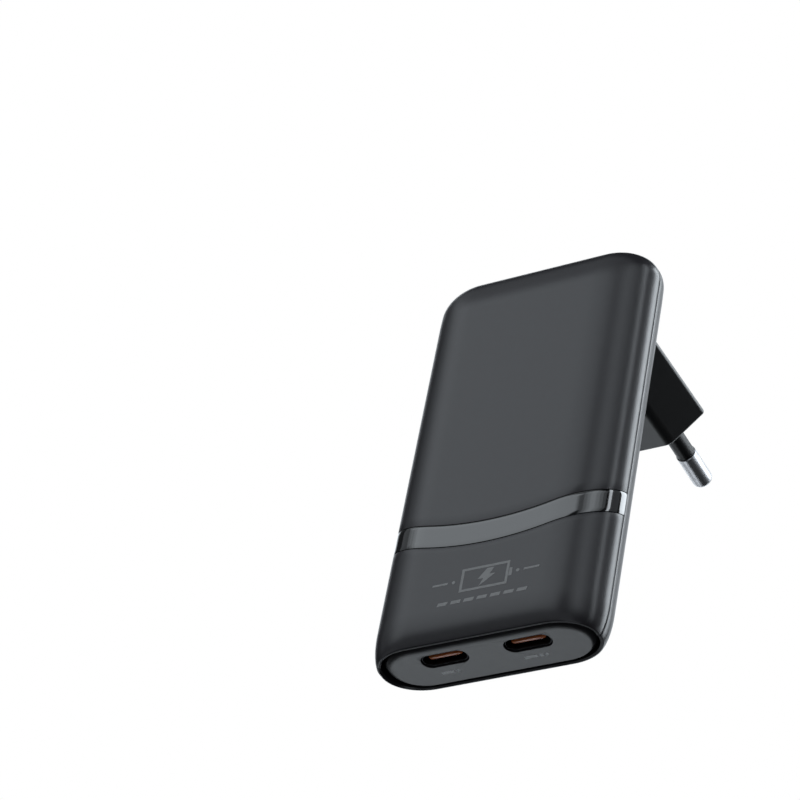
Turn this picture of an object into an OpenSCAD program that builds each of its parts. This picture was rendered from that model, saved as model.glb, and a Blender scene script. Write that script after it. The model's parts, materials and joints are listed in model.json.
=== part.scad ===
// Slim two-port USB wall charger with an interchangeable two-pin plug head.
// The origin is the centre of the plug's engagement face; +Y points into the wall socket,
// +Z up towards the blunt end of the body, and the ports face -Z.

/* [Body] */
// Width of the body
body_w = 45; // [42:0.5:50]
// Thickness of the body
body_d = 15; // [14.5:0.5:18]
// Height of the body, from the port end to the blunt end
body_h = 86.5; // [84:0.5:95]
// Radius of the four long corners
corner_r = 7; // [6:0.1:7.2]
// Radius of the two blunt-end corners, seen from the front
top_corner_r = 6; // [5:0.5:9]
// Radius that rounds the front and back faces over at the blunt end
top_edge_r = 6.2; // [3:0.1:7]
// Radius of the body's edge round the port end
port_edge_r = 1.3; // [0.8:0.1:1.5]
// Thickness of the shell wall
wall = 1.6; // [1.4:0.1:1.8]
// Width of the visible seam between the two shells
seam_gap = 0.2; // [0.1:0.05:0.3]

/* [Wave stripe] */
// Height of the stripe's lower edge on the centre line
wave_low = 19.6; // [17:0.1:25]
// Width of the stripe
wave_w = 4.8; // [3:0.1:6]
// Rise of the stripe, in mm for each square mm of surface distance from the centre line
wave_rise = 0.0083; // [0.002:0.0001:0.009]
// Thickness of the stripe
wave_t = 0.7; // [0.5:0.05:0.8]
// Width of the groove round the stripe
wave_groove = 0.2; // [0.1:0.05:0.3]

/* [Ports] */
// Distance from one port's centre to the other's
port_pitch = 16.3; // [14:0.1:20]
// Distance of the ports in front of the body's middle plane
port_forward = 1.1; // [0:0.1:1.5]
// Depth of the port panel inside the rim
panel_inset = 0.4; // [0.2:0.1:0.8]

/* [Plug head] */
// Height of the plug's axis above the port end
plug_z = 74.8; // [74:0.1:75]
// Distance from the body's middle plane to the engagement face
plug_face_y = 30.9; // [28:0.1:34]
// Width of the neck, point to point
neck_w = 35.4; // [35.3:0.1:36]
// Height of the neck between its two flat sides
neck_h = 13; // [12.5:0.1:13.7]
// Width of the base block where it meets the body
block_w = 30.8; // [29:0.1:31]
// Height of the base block's outer face above the middle plane
block_y = 12.5; // [12:0.1:13.5]
// Lower edge of the base block
block_z0 = 59.2; // [58.5:0.1:60]
// Travel of the body along the plug head before it lifts off
slide_travel = 7.5; // [6:0.1:7.5]

/* [Pins] */
// Diameter of the bare end of a pin
pin_d = 4; // [3.94:0.02:4.06]
// Length of a pin outside the engagement face
pin_len = 19; // [18.5:0.1:19.5]
// Distance between the pin centres at the engagement face
pin_pitch_root = 18.6; // [18:0.1:19.2]
// Distance between the pin centres at the tips
pin_pitch_tip = 17.5; // [17:0.1:18]
// Length of the insulating sleeve outside the engagement face
sleeve_len = 9.8; // [9:0.1:10]
// Diameter of the insulating sleeve
sleeve_d = 3.66; // [3.6:0.02:3.66]
// Diameter of the sleeve's collar
collar_d = 4.75; // [4.5:0.05:5]
// Length of the sleeve's collar outside the engagement face
collar_len = 3.2; // [2.5:0.1:4]

/* [Hidden] */
$fn = 96;
hull_fn = 32;
tiny = 0.05;
big = 200;

gap = 0.3;                                     // clearance between the body and the plug head
inner_w = body_w - 2 * wall;
inner_d = body_d - 2 * wall;
flat_half = body_w / 2 - corner_r;             // half the flat part of the front face
side_arc = flat_half + corner_r * PI / 2;      // surface distance from centre line to seam
lip_h = 1.2;                                   // tongue of the front shell inside the rear one
lip_fit = 0.1;

recess_d = 0.8;                                // shallow pocket under the plug head
recess_y = body_d / 2 - recess_d;
recess_z0 = block_z0 - slide_travel - gap - 0.5;
recess_w = block_w + 2 * gap;
recess_r = 4.2;
block_z1 = body_h - 0.3;
block_y0 = recess_y + gap;
block_h = block_z1 - block_z0;
block_r = 3;
block_taper = 0.9;
neck_tip_r = 0.8;
neck_shoulder_r = 3;
neck_y0 = body_d / 2 + gap;
neck_wall = 2.2;
base_plate_t = 2;
base_plate_y0 = block_y0;
base_plate_w = block_w - 4.4;
base_plate_h = block_h - 4.4;

panel_w = inner_w - 2 * gap;
panel_d = inner_d - 2 * gap;
panel_t = 2;
panel_flange_t = 1.2;
port_w = 8.9;
port_h = 3.26;
port_wall = 0.3;
port_len = 7.3;
port_z0 = panel_inset + 0.3;
port_y = -port_forward;
port_hole_w = port_w + 0.14;
port_hole_h = port_h + 0.14;
tongue_w = 6.7;
tongue_t = 0.7;
tongue_z0 = port_z0 + 0.4;
tongue_len = 5.2;
pad_w = 0.3;
pad_t = 0.08;
pad_pitch = 0.5;
pad_count = 12;
pad_len = 3.6;

board_y0 = -4.4;
board_t = 1;
board_top_y = board_y0 + board_t;
board_w = 36;
board_z0 = 3.9;
board_z1 = 80;
board_chamfer = 4;
post_r = 1.1;
post_x = 17.1;
post_zs = [12, 72];
sheet_w = 31;
sheet_t = 0.2;
sheet_y0 = board_y0 - 0.35;
spreader_w = 29;
spreader_t = 0.4;
spreader_y0 = sheet_y0 - 0.15 - spreader_t;
spreader_z = [14, 62];

core_pos = [5.5, 33.5];
core_size = [23, 5.2, 19];
core_yoke = 2.8;
core_leg = 7;
core_y = 0.9;
winding_size = [15.6, 8.2];
winding_h = core_size[2] - 2 * core_yoke - 0.4;

bulk_r = 4;
bulk_caps = [[-13.9, 25, 19], [-3.9, 46.5, 17], [4.4, 46.5, 17]];    // x, lower end, length
out_r = 3.15;
out_caps = [[-13.4, 12.2, 9], [-6.4, 12.2, 9]];
film_cap_at = [9.4, 46.5];
film_cap_size = [8.6, 5.4, 12];
choke_at = [-13.6, 52.6];
choke_r = 5.4;
choke_bore_r = 2.4;
choke_t = 4.6;
coil_over = 0.6;
bridge_at = [-4.5, 64.2];
bridge_size = [9, 1.5, 6];
fuse_z = 77;
fuse_r = 1.6;
fuse_len = 9;
chips = [[2.2, 13.5, 5], [9.6, 13.2, 6]];      // x, z, side
chip_t = 0.9;
switch_at = [12.2, 62];
switch_size = 6;

hook_stem = 2;
hook_head = 3.6;
hook_head_t = 1;
hook_len = 5;
hooks = [[-11, 67.3], [11, 67.3], [0, 77]];     // x and lower end of each hook
hook_y0 = recess_y - wall - gap - hook_head_t;

contact_x = 5;
contact_w = 2.4;
contact_t = 0.4;
contact_z = 73;
contact_len = 5;
pad_foot_t = 0.5;
pad_z0 = 70;
pad_h = 10;

pin_core_r = 1.5;
collar_fit = 0.2;                              // radial room round a collar, so a tilted pin clears
pin_root_x = pin_pitch_root / 2;
pin_tilt = atan((pin_pitch_root - pin_pitch_tip) / 2 / pin_len);
pin_back = 8;                                  // length of a pin behind the engagement face
carrier_t = 5;
carrier_y0 = plug_face_y - neck_wall - 0.2 - carrier_t;
terminal_t = 0.5;
terminal_w = 3;
terminal_x = pin_root_x + 0.1;

shell_grey = [0.16, 0.165, 0.175];
shell_black = [0.1, 0.1, 0.11];
gloss_grey = [0.3, 0.31, 0.33];
steel = [0.75, 0.76, 0.78];
copper = [0.8, 0.42, 0.16];
gold = [0.85, 0.68, 0.3];
board_green = [0.06, 0.3, 0.16];

// Everything below is drawn with the port end's centre at zero, then moved to the plug face.
module placed() {
    translate([0, -plug_face_y, -plug_z]) children();
}

// Turns a flat outline in X and Z into a prism along Y.
module along_y(y0, y1) {
    translate([0, y1, 0]) rotate([90, 0, 0]) linear_extrude(y1 - y0) children();
}

// Turns a flat outline in Y and Z into a prism along X.
module along_x(x0, x1) {
    translate([x0, 0, 0]) rotate([90, 0, 90]) linear_extrude(x1 - x0) children();
}

module rounded_rect(w, h, r) {
    square([w, h - 2 * r], center = true);
    square([w - 2 * r, h], center = true);
    for (sx = [-1, 1], sy = [-1, 1])
        translate([sx * (w / 2 - r), sy * (h / 2 - r)]) circle(r);
}

// Outline that stands on y = 0, with one radius at its foot and one at its head.
module standing_plate(w, h, r_low, r_high) {
    translate([-w / 2, r_low]) square([w, h - r_low - r_high]);
    translate([-w / 2 + r_low, 0]) square([w - 2 * r_low, h / 2]);
    translate([-w / 2 + r_high, h / 2]) square([w - 2 * r_high, h / 2]);
    for (s = [-1, 1]) {
        translate([s * (w / 2 - r_low), r_low]) circle(r_low);
        translate([s * (w / 2 - r_high), h - r_high]) circle(r_high);
    }
}

// The body's outer form, drawn in by inset on every side.
module body_form(inset) {
    w = body_w - 2 * inset;
    d = body_d - 2 * inset;
    h = body_h - 2 * inset;
    low_r = max(port_edge_r - inset, tiny);
    translate([0, 0, inset]) intersection() {
        linear_extrude(h) rounded_rect(w, d, corner_r - inset);
        along_y(-body_d, body_d) standing_plate(w, h, low_r, top_corner_r - inset);
        along_x(-body_w, body_w) standing_plate(d, h, low_r, top_edge_r - inset);
    }
}

module slab(y0, y1) {
    translate([-big / 2, y0, -big / 2]) cube([big, y1 - y0, 2 * big]);
}

module port_rim() {
    translate([0, 0, -1]) linear_extrude(wall + 1 + 2 * tiny)
        rounded_rect(inner_w, inner_d, corner_r - wall);
}

// Wave band, as a prism through the body; grow widens it on both edges.
function surface_x(s) = abs(s) <= flat_half
    ? s
    : sign(s) * (flat_half + corner_r * sin((abs(s) - flat_half) / corner_r * 180 / PI));

function wave_z(s) = wave_low + wave_rise * s * s;

module wave_band(grow) {
    steps = 40;
    ss = [for (i = [0:steps]) -side_arc + 2 * side_arc * i / steps];
    end_x = body_w / 2 + 1;
    end_z = wave_z(side_arc);
    low = concat([[-end_x, end_z]], [for (s = ss) [surface_x(s), wave_z(s)]], [[end_x, end_z]]);
    points = concat([for (p = low) [p[0], p[1] - grow]],
        [for (i = [len(low) - 1:-1:0]) [low[i][0], low[i][1] + wave_w + grow]]);
    along_y(-body_d, -seam_gap / 2) polygon(points);
}

module front_shell() {
    color(shell_grey) placed() difference() {
        union() {
            intersection() {
                difference() {
                    body_form(0);
                    body_form(wall);
                }
                slab(-body_d, -seam_gap / 2);
            }
            intersection() {
                difference() {
                    body_form(wall / 2);
                    body_form(wall);
                }
                slab(-lip_h, lip_h);
            }
            for (s = [-1, 1], z = post_zs)
                translate([s * post_x, board_y0, z]) rotate([90, 0, 0])
                    cylinder(r = post_r, h = wall);
        }
        port_rim();
        difference() {
            wave_band(wave_groove);
            body_form(wave_t + tiny);
        }
    }
}

module wave_stripe() {
    color(gloss_grey) placed() intersection() {
        difference() {
            body_form(0);
            body_form(wave_t);
        }
        wave_band(0);
    }
}

// Slot for one hook: a wide entry below, and a narrow channel above it.
module hook_slot(x, z) {
    entry_w = hook_head + 2 * gap;
    channel_w = hook_stem + 2 * gap;
    low = z - slide_travel - gap;
    translate([x - entry_w / 2, 0, low]) cube([entry_w, body_d, hook_len + 2 * gap]);
    translate([x - channel_w / 2, 0, low])
        cube([channel_w, body_d, hook_len + slide_travel + 2 * gap]);
}

module rear_shell() {
    floor_h = body_h - recess_z0;
    color(shell_black) placed() difference() {
        union() {
            intersection() {
                difference() {
                    body_form(0);
                    body_form(wall);
                }
                slab(seam_gap / 2, body_d);
            }
            intersection() {
                body_form(tiny);
                translate([-recess_w / 2 - wall, recess_y - wall, recess_z0 - wall])
                    cube([recess_w + 2 * wall, wall, floor_h + wall]);
            }
        }
        along_y(recess_y, body_d) translate([0, recess_z0])
            standing_plate(recess_w, floor_h + recess_r, recess_r, recess_r);
        intersection() {
            difference() {
                body_form(wall / 2 - lip_fit);
                body_form(wall + lip_fit);
            }
            slab(0, lip_h + lip_fit);
        }
        port_rim();
        for (h = hooks)
            hook_slot(h[0], h[1]);
        for (s = [-1, 1])
            translate([s * contact_x - contact_w / 2 - gap, 0, contact_z - contact_len / 2 - gap])
                cube([contact_w + 2 * gap, body_d, contact_len + 2 * gap]);
    }
}

module port_panel() {
    inner_r = corner_r - wall;
    color(shell_grey) placed() difference() {
        union() {
            translate([0, 0, panel_inset]) linear_extrude(panel_t + tiny)
                rounded_rect(panel_w, panel_d, inner_r - gap);
            translate([0, 0, panel_inset + panel_t]) linear_extrude(panel_flange_t)
                rounded_rect(inner_w - gap, inner_d - gap, inner_r - gap / 2);
        }
        for (s = [-1, 1])
            translate([s * port_pitch / 2, port_y, 0]) linear_extrude(body_h)
                rounded_rect(port_hole_w, port_hole_h, port_hole_h / 2 - tiny);
    }
}

module usb_c_shell(side) {
    color(steel) placed() translate([side * port_pitch / 2, port_y, port_z0]) difference() {
        linear_extrude(port_len) rounded_rect(port_w, port_h, port_h / 2 - tiny);
        translate([0, 0, -1]) linear_extrude(port_len + 2)
            rounded_rect(port_w - 2 * port_wall, port_h - 2 * port_wall,
                port_h / 2 - port_wall - tiny);
    }
}

module usb_c_tongue(side) {
    block_z = tongue_z0 + tongue_len;
    fit = port_wall + tiny / 2;
    color(copper) placed() translate([side * port_pitch / 2, port_y, 0]) {
        translate([-tongue_w / 2, -tongue_t / 2, tongue_z0])
            cube([tongue_w, tongue_t, tongue_len + tiny]);
        translate([0, 0, block_z]) linear_extrude(port_z0 + port_len - block_z)
            rounded_rect(port_w - 2 * fit, port_h - 2 * fit, port_h / 2 - fit - tiny);
    }
}

module usb_c_contacts(side) {
    color(gold) placed() translate([side * port_pitch / 2, port_y, tongue_z0 + 0.4])
        for (face = [-1, 1], i = [0:pad_count - 1])
            translate([(i - (pad_count - 1) / 2) * pad_pitch - pad_w / 2,
                    face > 0 ? tongue_t / 2 : -tongue_t / 2 - pad_t, 0])
                cube([pad_w, pad_t, pad_len]);
}

module main_board() {
    half = board_w / 2;
    low = half - board_chamfer;
    color(board_green) placed() along_y(board_y0, board_top_y)
        polygon([[-half, board_z0], [half, board_z0],
            [half, board_z1 - board_chamfer], [low, board_z1],
            [-low, board_z1], [-half, board_z1 - board_chamfer]]);
}

module insulation_sheet() {
    color("ivory") placed() translate([-sheet_w / 2, sheet_y0, board_z0 + 4])
        cube([sheet_w, sheet_t, board_z1 - board_z0 - 10]);
}

module heat_spreader() {
    color(steel) placed() translate([-spreader_w / 2, spreader_y0, spreader_z[0]])
        cube([spreader_w, spreader_t, spreader_z[1] - spreader_z[0]]);
}

module transformer_core() {
    window_w = (core_size[0] - core_leg - 2 * core_yoke) / 2;
    window_h = core_size[2] - 2 * core_yoke;
    color([0.2, 0.2, 0.21]) placed() translate([core_pos[0], core_y, core_pos[1]]) difference() {
        cube(core_size, center = true);
        for (s = [-1, 1])
            translate([s * (core_leg + window_w) / 2, 0, 0])
                cube([window_w, core_size[1] + 2, window_h], center = true);
    }
}

module transformer_winding() {
    color("goldenrod") placed()
        translate([core_pos[0], core_y, core_pos[1] - winding_h / 2]) difference() {
            linear_extrude(winding_h) rounded_rect(winding_size[0], winding_size[1], 2);
            translate([0, 0, -1]) linear_extrude(winding_h + 2)
                square([core_leg + gap, core_size[1] + gap], center = true);
        }
}

// A capacitor can that lies along Z on the board: x, lower end and length come from one row.
module lying_can(row, r) {
    translate([row[0], board_top_y + r + tiny, row[1]]) cylinder(r = r, h = row[2]);
}

module bulk_capacitors() {
    color([0.12, 0.12, 0.14]) placed()
        for (row = bulk_caps)
            lying_can(row, bulk_r);
}

module output_capacitors() {
    color("silver") placed()
        for (row = out_caps)
            lying_can(row, out_r);
}

module film_capacitor() {
    color("gold") placed() translate([film_cap_at[0], board_top_y + tiny, film_cap_at[1]])
        cube(film_cap_size);
}

module choke_core() {
    color([0.15, 0.35, 0.2]) placed()
        translate([choke_at[0], board_top_y + coil_over + tiny, choke_at[1]]) rotate([-90, 0, 0])
            difference() {
                cylinder(r = choke_r - coil_over, h = choke_t - 2 * coil_over);
                translate([0, 0, -1]) cylinder(r = choke_bore_r, h = choke_t + 2);
            }
}

// Two half windings wrapped round the ring, left open at its top and bottom.
module choke_winding() {
    turn_in = choke_bore_r - coil_over;
    spread = 55;
    clear = tiny / 2;
    color("peru") placed()
        translate([choke_at[0], board_top_y + tiny, choke_at[1]]) rotate([-90, 0, 0])
            for (start = [-spread, 180 - spread])
                rotate([0, 0, start]) rotate_extrude(angle = 2 * spread) difference() {
                    translate([turn_in, 0]) square([choke_r - turn_in, choke_t]);
                    translate([choke_bore_r - clear, coil_over - clear])
                        square([choke_r - coil_over - choke_bore_r + 2 * clear,
                            choke_t - 2 * coil_over + 2 * clear]);
                }
}

module bridge_rectifier() {
    color([0.12, 0.12, 0.12]) placed()
        translate([bridge_at[0], board_top_y + tiny, bridge_at[1]]) cube(bridge_size);
}

module fuse() {
    color("tan") placed()
        translate([-fuse_len / 2, board_top_y + fuse_r + tiny, fuse_z]) rotate([0, 90, 0])
            cylinder(r = fuse_r, h = fuse_len);
}

module control_chips() {
    color([0.12, 0.12, 0.12]) placed()
        for (row = chips)
            translate([row[0], board_top_y + tiny, row[1]]) cube([row[2], chip_t, row[2]]);
}

module power_switch() {
    color([0.12, 0.12, 0.12]) placed()
        translate([switch_at[0], board_top_y + tiny, switch_at[1]])
            cube([switch_size, chip_t, switch_size]);
}

// Spring contact: a foot on the board, a riser, and a bowed tip in the rear shell's window.
module input_contact(side) {
    foot_y = board_top_y + tiny;
    tip_r = contact_len / 2 - contact_t;
    tip_y = recess_y - tip_r - contact_t;
    color(copper) placed() along_x(side * contact_x - contact_w / 2,
            side * contact_x + contact_w / 2) {
        translate([foot_y, contact_z - contact_len / 2]) square([contact_t, contact_len]);
        translate([foot_y, contact_z - contact_len / 2]) square([tip_y - foot_y, contact_t]);
        translate([tip_y, contact_z]) difference() {
            circle(tip_r + contact_t);
            circle(tip_r);
            translate([-contact_len, -contact_len]) square([contact_len, 2 * contact_len]);
        }
    }
}

// Neck outline: an elongated hexagon with pointed ends and rounded corners.
module neck_outline(inset) {
    point = neck_w / 2 + (sqrt(2) - 1) * neck_tip_r - inset * sqrt(2);
    side = neck_h / 2 - inset;
    tip_r = max(neck_tip_r - inset, 0.2);
    shoulder_r = max(neck_shoulder_r - inset, 0.2);
    hull() {
        for (s = [-1, 1]) {
            translate([s * (point - sqrt(2) * tip_r), 0]) circle(tip_r, $fn = hull_fn);
            for (t = [-1, 1])
                translate([s * (point - sqrt(2) * shoulder_r - side + shoulder_r),
                        t * (side - shoulder_r)])
                    circle(shoulder_r, $fn = hull_fn);
        }
    }
}

module block_plate(y, w, z0, z1) {
    translate([0, 0, (z0 + z1) / 2]) along_y(y, y + tiny)
        rounded_rect(w, z1 - z0, block_r, $fn = hull_fn);
}

module pin_line(side) {
    translate([side * pin_root_x, plug_face_y, plug_z])
        rotate([0, 0, side * pin_tilt]) rotate([-90, 0, 0]) children();
}

module plug_housing() {
    cavity_y1 = plug_face_y - neck_wall;
    color(shell_black) placed() difference() {
        union() {
            hull() {
                block_plate(block_y0, block_w, block_z0, block_z1);
                block_plate(block_y - 0.5, block_w - 2 * block_taper,
                    block_z0 + block_taper, block_z1 - block_taper);
                block_plate(block_y - tiny, block_w - 2 * block_taper - 0.6,
                    block_z0 + block_taper + 0.3, block_z1 - block_taper - 0.3);
            }
            translate([0, 0, plug_z]) along_y(neck_y0, plug_face_y) neck_outline(0);
        }
        translate([0, 0, (block_z0 + block_z1) / 2])
            along_y(block_y0 - 1, block_y0 + base_plate_t + gap)
                rounded_rect(base_plate_w + 0.2, base_plate_h + 0.2, block_r - 1);
        translate([0, 0, plug_z]) along_y(block_y0, cavity_y1) neck_outline(neck_wall);
        for (s = [-1, 1])
            pin_line(s) translate([0, 0, -pin_back])
                cylinder(d = collar_d + 2 * collar_fit, h = pin_len);
    }
}

module hook(x, z) {
    base_y = base_plate_y0 + tiny;
    translate([x - hook_stem / 2, hook_y0, z]) cube([hook_stem, base_y - hook_y0, hook_len]);
    translate([x - hook_head / 2, hook_y0, z]) cube([hook_head, hook_head_t, hook_len]);
}

module plug_base_plate() {
    strip_gap = 0.1;
    color(shell_black) placed() difference() {
        union() {
            translate([0, 0, (block_z0 + block_z1) / 2])
                along_y(base_plate_y0, base_plate_y0 + base_plate_t)
                    rounded_rect(base_plate_w, base_plate_h, block_r - 1);
            for (h = hooks)
                hook(h[0], h[1]);
        }
        for (s = [-1, 1]) {
            low = s > 0 ? contact_x - contact_w / 2 : -terminal_x - terminal_t;
            translate([low - strip_gap, base_plate_y0 - 1, pad_z0 - strip_gap])
                cube([terminal_x + terminal_t - contact_x + contact_w / 2 + 2 * strip_gap,
                    1 + pad_foot_t + strip_gap, pad_h + 2 * strip_gap]);
            translate([s * (terminal_x + terminal_t / 2) - terminal_t / 2 - strip_gap,
                    base_plate_y0 - 1, plug_z - terminal_w / 2 - strip_gap])
                cube([terminal_t + 2 * strip_gap, base_plate_t + 2,
                    terminal_w + 2 * strip_gap]);
        }
    }
}

module pin_carrier() {
    color("dimgray") placed() difference() {
        translate([0, 0, plug_z]) along_y(carrier_y0, carrier_y0 + carrier_t)
            neck_outline(neck_wall + 0.15);
        for (s = [-1, 1])
            pin_line(s) translate([0, 0, -2 * pin_back])
                cylinder(d = collar_d + 2 * collar_fit, h = 2 * pin_back);
    }
}

module pin(side) {
    r = pin_d / 2;
    color(steel) placed() pin_line(side) {
        translate([0, 0, -pin_back]) cylinder(r = pin_core_r, h = pin_back + sleeve_len + tiny);
        translate([0, 0, sleeve_len]) cylinder(r = r, h = pin_len - sleeve_len - r);
        translate([0, 0, pin_len - r]) sphere(r);
    }
}

module pin_sleeve(side) {
    color(shell_black) placed() pin_line(side) difference() {
        union() {
            translate([0, 0, -pin_back + 0.6]) cylinder(d = collar_d, h = pin_back + collar_len - 0.6);
            cylinder(d = sleeve_d, h = sleeve_len - tiny);
        }
        translate([0, 0, -pin_back - 1])
            cylinder(r = pin_core_r + tiny / 2, h = pin_len + pin_back);
    }
}

// Strip that clips to a pin's back end and ends in a pad under the base plate.
module terminal(side) {
    pin_end = plug_face_y - pin_back;
    color(copper) placed() mirror([side > 0 ? 0 : 1, 0, 0]) {
        translate([terminal_x, block_y0, plug_z - terminal_w / 2])
            cube([terminal_t, pin_end - block_y0 - tiny, terminal_w]);
        translate([contact_x - contact_w / 2, block_y0, pad_z0])
            cube([terminal_x + terminal_t - contact_x + contact_w / 2, pad_foot_t, pad_h]);
    }
}

front_shell();
rear_shell();
wave_stripe();
port_panel();
usb_c_shell(-1);  // usb_c_left_shell
usb_c_shell(1);  // usb_c_right_shell
usb_c_tongue(-1);  // usb_c_left_tongue
usb_c_tongue(1);  // usb_c_right_tongue
usb_c_contacts(-1);  // usb_c_left_contacts
usb_c_contacts(1);  // usb_c_right_contacts
main_board();
insulation_sheet();
heat_spreader();
transformer_core();
transformer_winding();
bulk_capacitors();
output_capacitors();
film_capacitor();
choke_core();
choke_winding();
bridge_rectifier();
fuse();
control_chips();
power_switch();
input_contact(-1);  // input_contact_left
input_contact(1);  // input_contact_right
plug_housing();
plug_base_plate();
pin_carrier();
pin(-1);  // pin_left
pin(1);  // pin_right
pin_sleeve(-1);  // pin_sleeve_left
pin_sleeve(1);  // pin_sleeve_right
terminal(-1);  // terminal_left
terminal(1);  // terminal_right
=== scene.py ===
"""Slim two-port USB wall charger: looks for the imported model, in metres, in the model's own frame."""

import json
import math

import bmesh
import bpy
from mathutils import Matrix, Vector


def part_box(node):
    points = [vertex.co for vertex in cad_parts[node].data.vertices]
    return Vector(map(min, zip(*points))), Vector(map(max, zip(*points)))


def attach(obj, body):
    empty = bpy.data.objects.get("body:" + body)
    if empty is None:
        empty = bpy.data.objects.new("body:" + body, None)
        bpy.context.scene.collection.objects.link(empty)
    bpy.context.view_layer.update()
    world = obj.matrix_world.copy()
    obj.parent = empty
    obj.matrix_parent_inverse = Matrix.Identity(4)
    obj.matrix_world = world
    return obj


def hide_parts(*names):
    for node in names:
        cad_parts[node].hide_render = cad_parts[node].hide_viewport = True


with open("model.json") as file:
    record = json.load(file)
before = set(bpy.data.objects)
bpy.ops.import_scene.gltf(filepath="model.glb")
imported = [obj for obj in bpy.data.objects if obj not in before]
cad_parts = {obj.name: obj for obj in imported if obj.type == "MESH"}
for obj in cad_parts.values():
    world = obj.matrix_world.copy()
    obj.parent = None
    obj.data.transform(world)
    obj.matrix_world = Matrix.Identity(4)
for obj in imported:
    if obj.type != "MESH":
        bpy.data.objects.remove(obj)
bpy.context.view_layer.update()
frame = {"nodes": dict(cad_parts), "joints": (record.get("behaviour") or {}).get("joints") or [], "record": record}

MM = 0.001
BODY = "charger_body"
HEAD = "plug_head"
SIDES = (-1, 1)

# ---------------------------------------------------------------- places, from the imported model

front_low, front_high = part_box("front_shell")
_, rear_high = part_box("rear_shell")
stripe_low, stripe_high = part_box("wave_stripe")
panel_low, panel_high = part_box("port_panel")
plug_low, plug_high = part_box("plug_housing")

BODY_W = (front_high.x - front_low.x) / MM
BODY_D = (rear_high.y - front_low.y) / MM
BODY_H = (front_high.z - front_low.z) / MM
MID_Y = (front_low.y + rear_high.y) / 2 / MM
PORT_END_Z = front_low.z / MM

# ---------------------------------------------------------------- sizes, in millimetres

# Heights start at the port end and depths at mid-thickness, unless a comment says otherwise.

# The body's section and ends. Its corners are quarter ellipses, wider than deep.
CORNER_R = 7.0
CORNER_STRETCH = 10 / 7
TOP_SIDE_R = 6.0
TOP_FACE_H = 10.0
TOP_FACE_R = 4.6
PORT_ROUND_H = 6.5
PORT_ROUND_SPAN = 7.07
PORT_INSET_X = 1.83
PORT_INSET_Y = 2.33
WALL = 1.6
SEAM = 0.09
TOP_CORNER_SHARE = 0.9
LEAST_CORNER_R = 0.02
FLAT_HALF = BODY_W / 2 - CORNER_R * CORNER_STRETCH

# Broken edges: their widths, and the part of the width at which their middle row stands.
EDGE = 0.1
LIP = 0.07
SOFTEN = 0.3
RIM_CHAMFER = 0.35
RIM_EDGE = 0.22
RIM_LIP = 0.16
LIP_STEPS = 5
# LIP_HIGHLIGHT_ROWS: the lowest rows of the port rim, which take the painted highlight material.
LIP_HIGHLIGHT_ROWS = 3
INK_T = 0.015

# Distances between rows and columns of points on the shells.
FACE_STEP = 1.2
LONG_STEP = 2.0
TURN_STEP = math.radians(4)
CAP_STEP = 0.5


def corner_length(t, steps=40):
    """Distance along the corner's quarter ellipse, up to the part t of its turn."""
    total = 0.0
    for k in range(steps):
        a = t * math.pi / 2 * (k + 0.5) / steps
        total += math.hypot(CORNER_STRETCH * math.cos(a), math.sin(a))
    return total * CORNER_R * t * math.pi / 2 / steps


SIDE_ARC = FLAT_HALF + corner_length(1.0)

# The wave stripe: it rises with the square of the distance from the centre line.
WAVE_LOW = (stripe_low.z - front_low.z) / MM
WAVE_W = 4.8
STRIPE_SPAN = (stripe_high.z - stripe_low.z) / MM
WAVE_RISE = (STRIPE_SPAN - WAVE_W) / SIDE_ARC**2
WAVE_GROOVE = 0.12
WAVE_T = 0.7
WAVE_POCKET = WAVE_T + 0.05
WAVE_MARGIN = 1.5
WAVE_FADE = 30.0

# Slots in the rear shell for the plug head's hooks and contacts.
HOOK_STEM, HOOK_HEAD, HOOK_LEN = 2.0, 3.6, 5.0
HOOKS = [(-11, 67.3), (11, 67.3), (0, 77)]
CONTACT_X, CONTACT_W, CONTACT_LEN, CONTACT_Z = 5.0, 2.4, 5.0, 73.0
TRAVEL = frame["joints"][0]["range_m"][1] / MM
GAP = 0.3

# The pocket behind the plug head.
RECESS_D = 0.8
RECESS_HALF = 15.45
RECESS_LOW = 51.2
RECESS_R = 4.2
RECESS_SLOPE = 0.9

# The port panel and its sockets.
PANEL_ROLL = 1.1
PANEL_ROLL_X = 1.6
PANEL_FACE_SHIFT = 0.95
PANEL_BACK_OFF = 0.35
PANEL_CORNER_R = CORNER_R - WALL - 0.3
HOLE_W, HOLE_H, HOLE_EDGE = 9.04, 3.4, 0.15
PORT_X = 8.15
PORT_Y = -1.1
SOCKET_WALL = 0.3
TONGUE_W, TONGUE_T, TONGUE_LEN = 6.7, 0.7, 5.2
TONGUE_R, TONGUE_BEVEL, TONGUE_NOSE = 0.2, 0.14, 0.5

# The plug head. Its depths are measured from the engagement face, in the model's frame.
NECK_W, NECK_H = 35.4, 13.0
NECK_TIP_R, NECK_SHOULDER_R, NECK_ROLL = 0.8, 3.0, 0.6
NECK_Y0 = plug_low.y / MM + 0.8
NECK_FOOT = 0.2
NECK_WALL = 2.2
PLATE_T, PLATE_GAP = 2.3, 0.1
BLOCK_W, BLOCK_R, BLOCK_TAPER, BLOCK_ROLL = 30.8, 3.0, 0.9, 0.5
BLOCK_Y0 = plug_low.y / MM
BLOCK_Y1 = BLOCK_Y0 + 5.5

# The pins. Their lengths are measured from the engagement face, along each pin.
PIN_R, PIN_CORE_R, PIN_BACK = 2.0, 1.5, 8.0
PIN_TIP = 1.3
PIN_EDGE = 0.12
PIN_FIT = 0.02
SLEEVE_R, SLEEVE_LEN = 1.83, 9.8
COLLAR_R, COLLAR_LEN, COLLAR_ROLL = 2.375, 3.2, 0.35
DRILL_GAP, DRILL_EDGE = 0.1, 0.15

# The printed marks.
MARK_X, MARK_Z = 1.4, 11.6
BATTERY_HALF_W, BATTERY_HALF_H, BATTERY_LINE = 4.7, 2.5, 0.5
BATTERY_GAP = 0.02
PORT_MARK_AT = (-0.3, 2.5)

# ---------------------------------------------------------------- camera and light values

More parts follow.
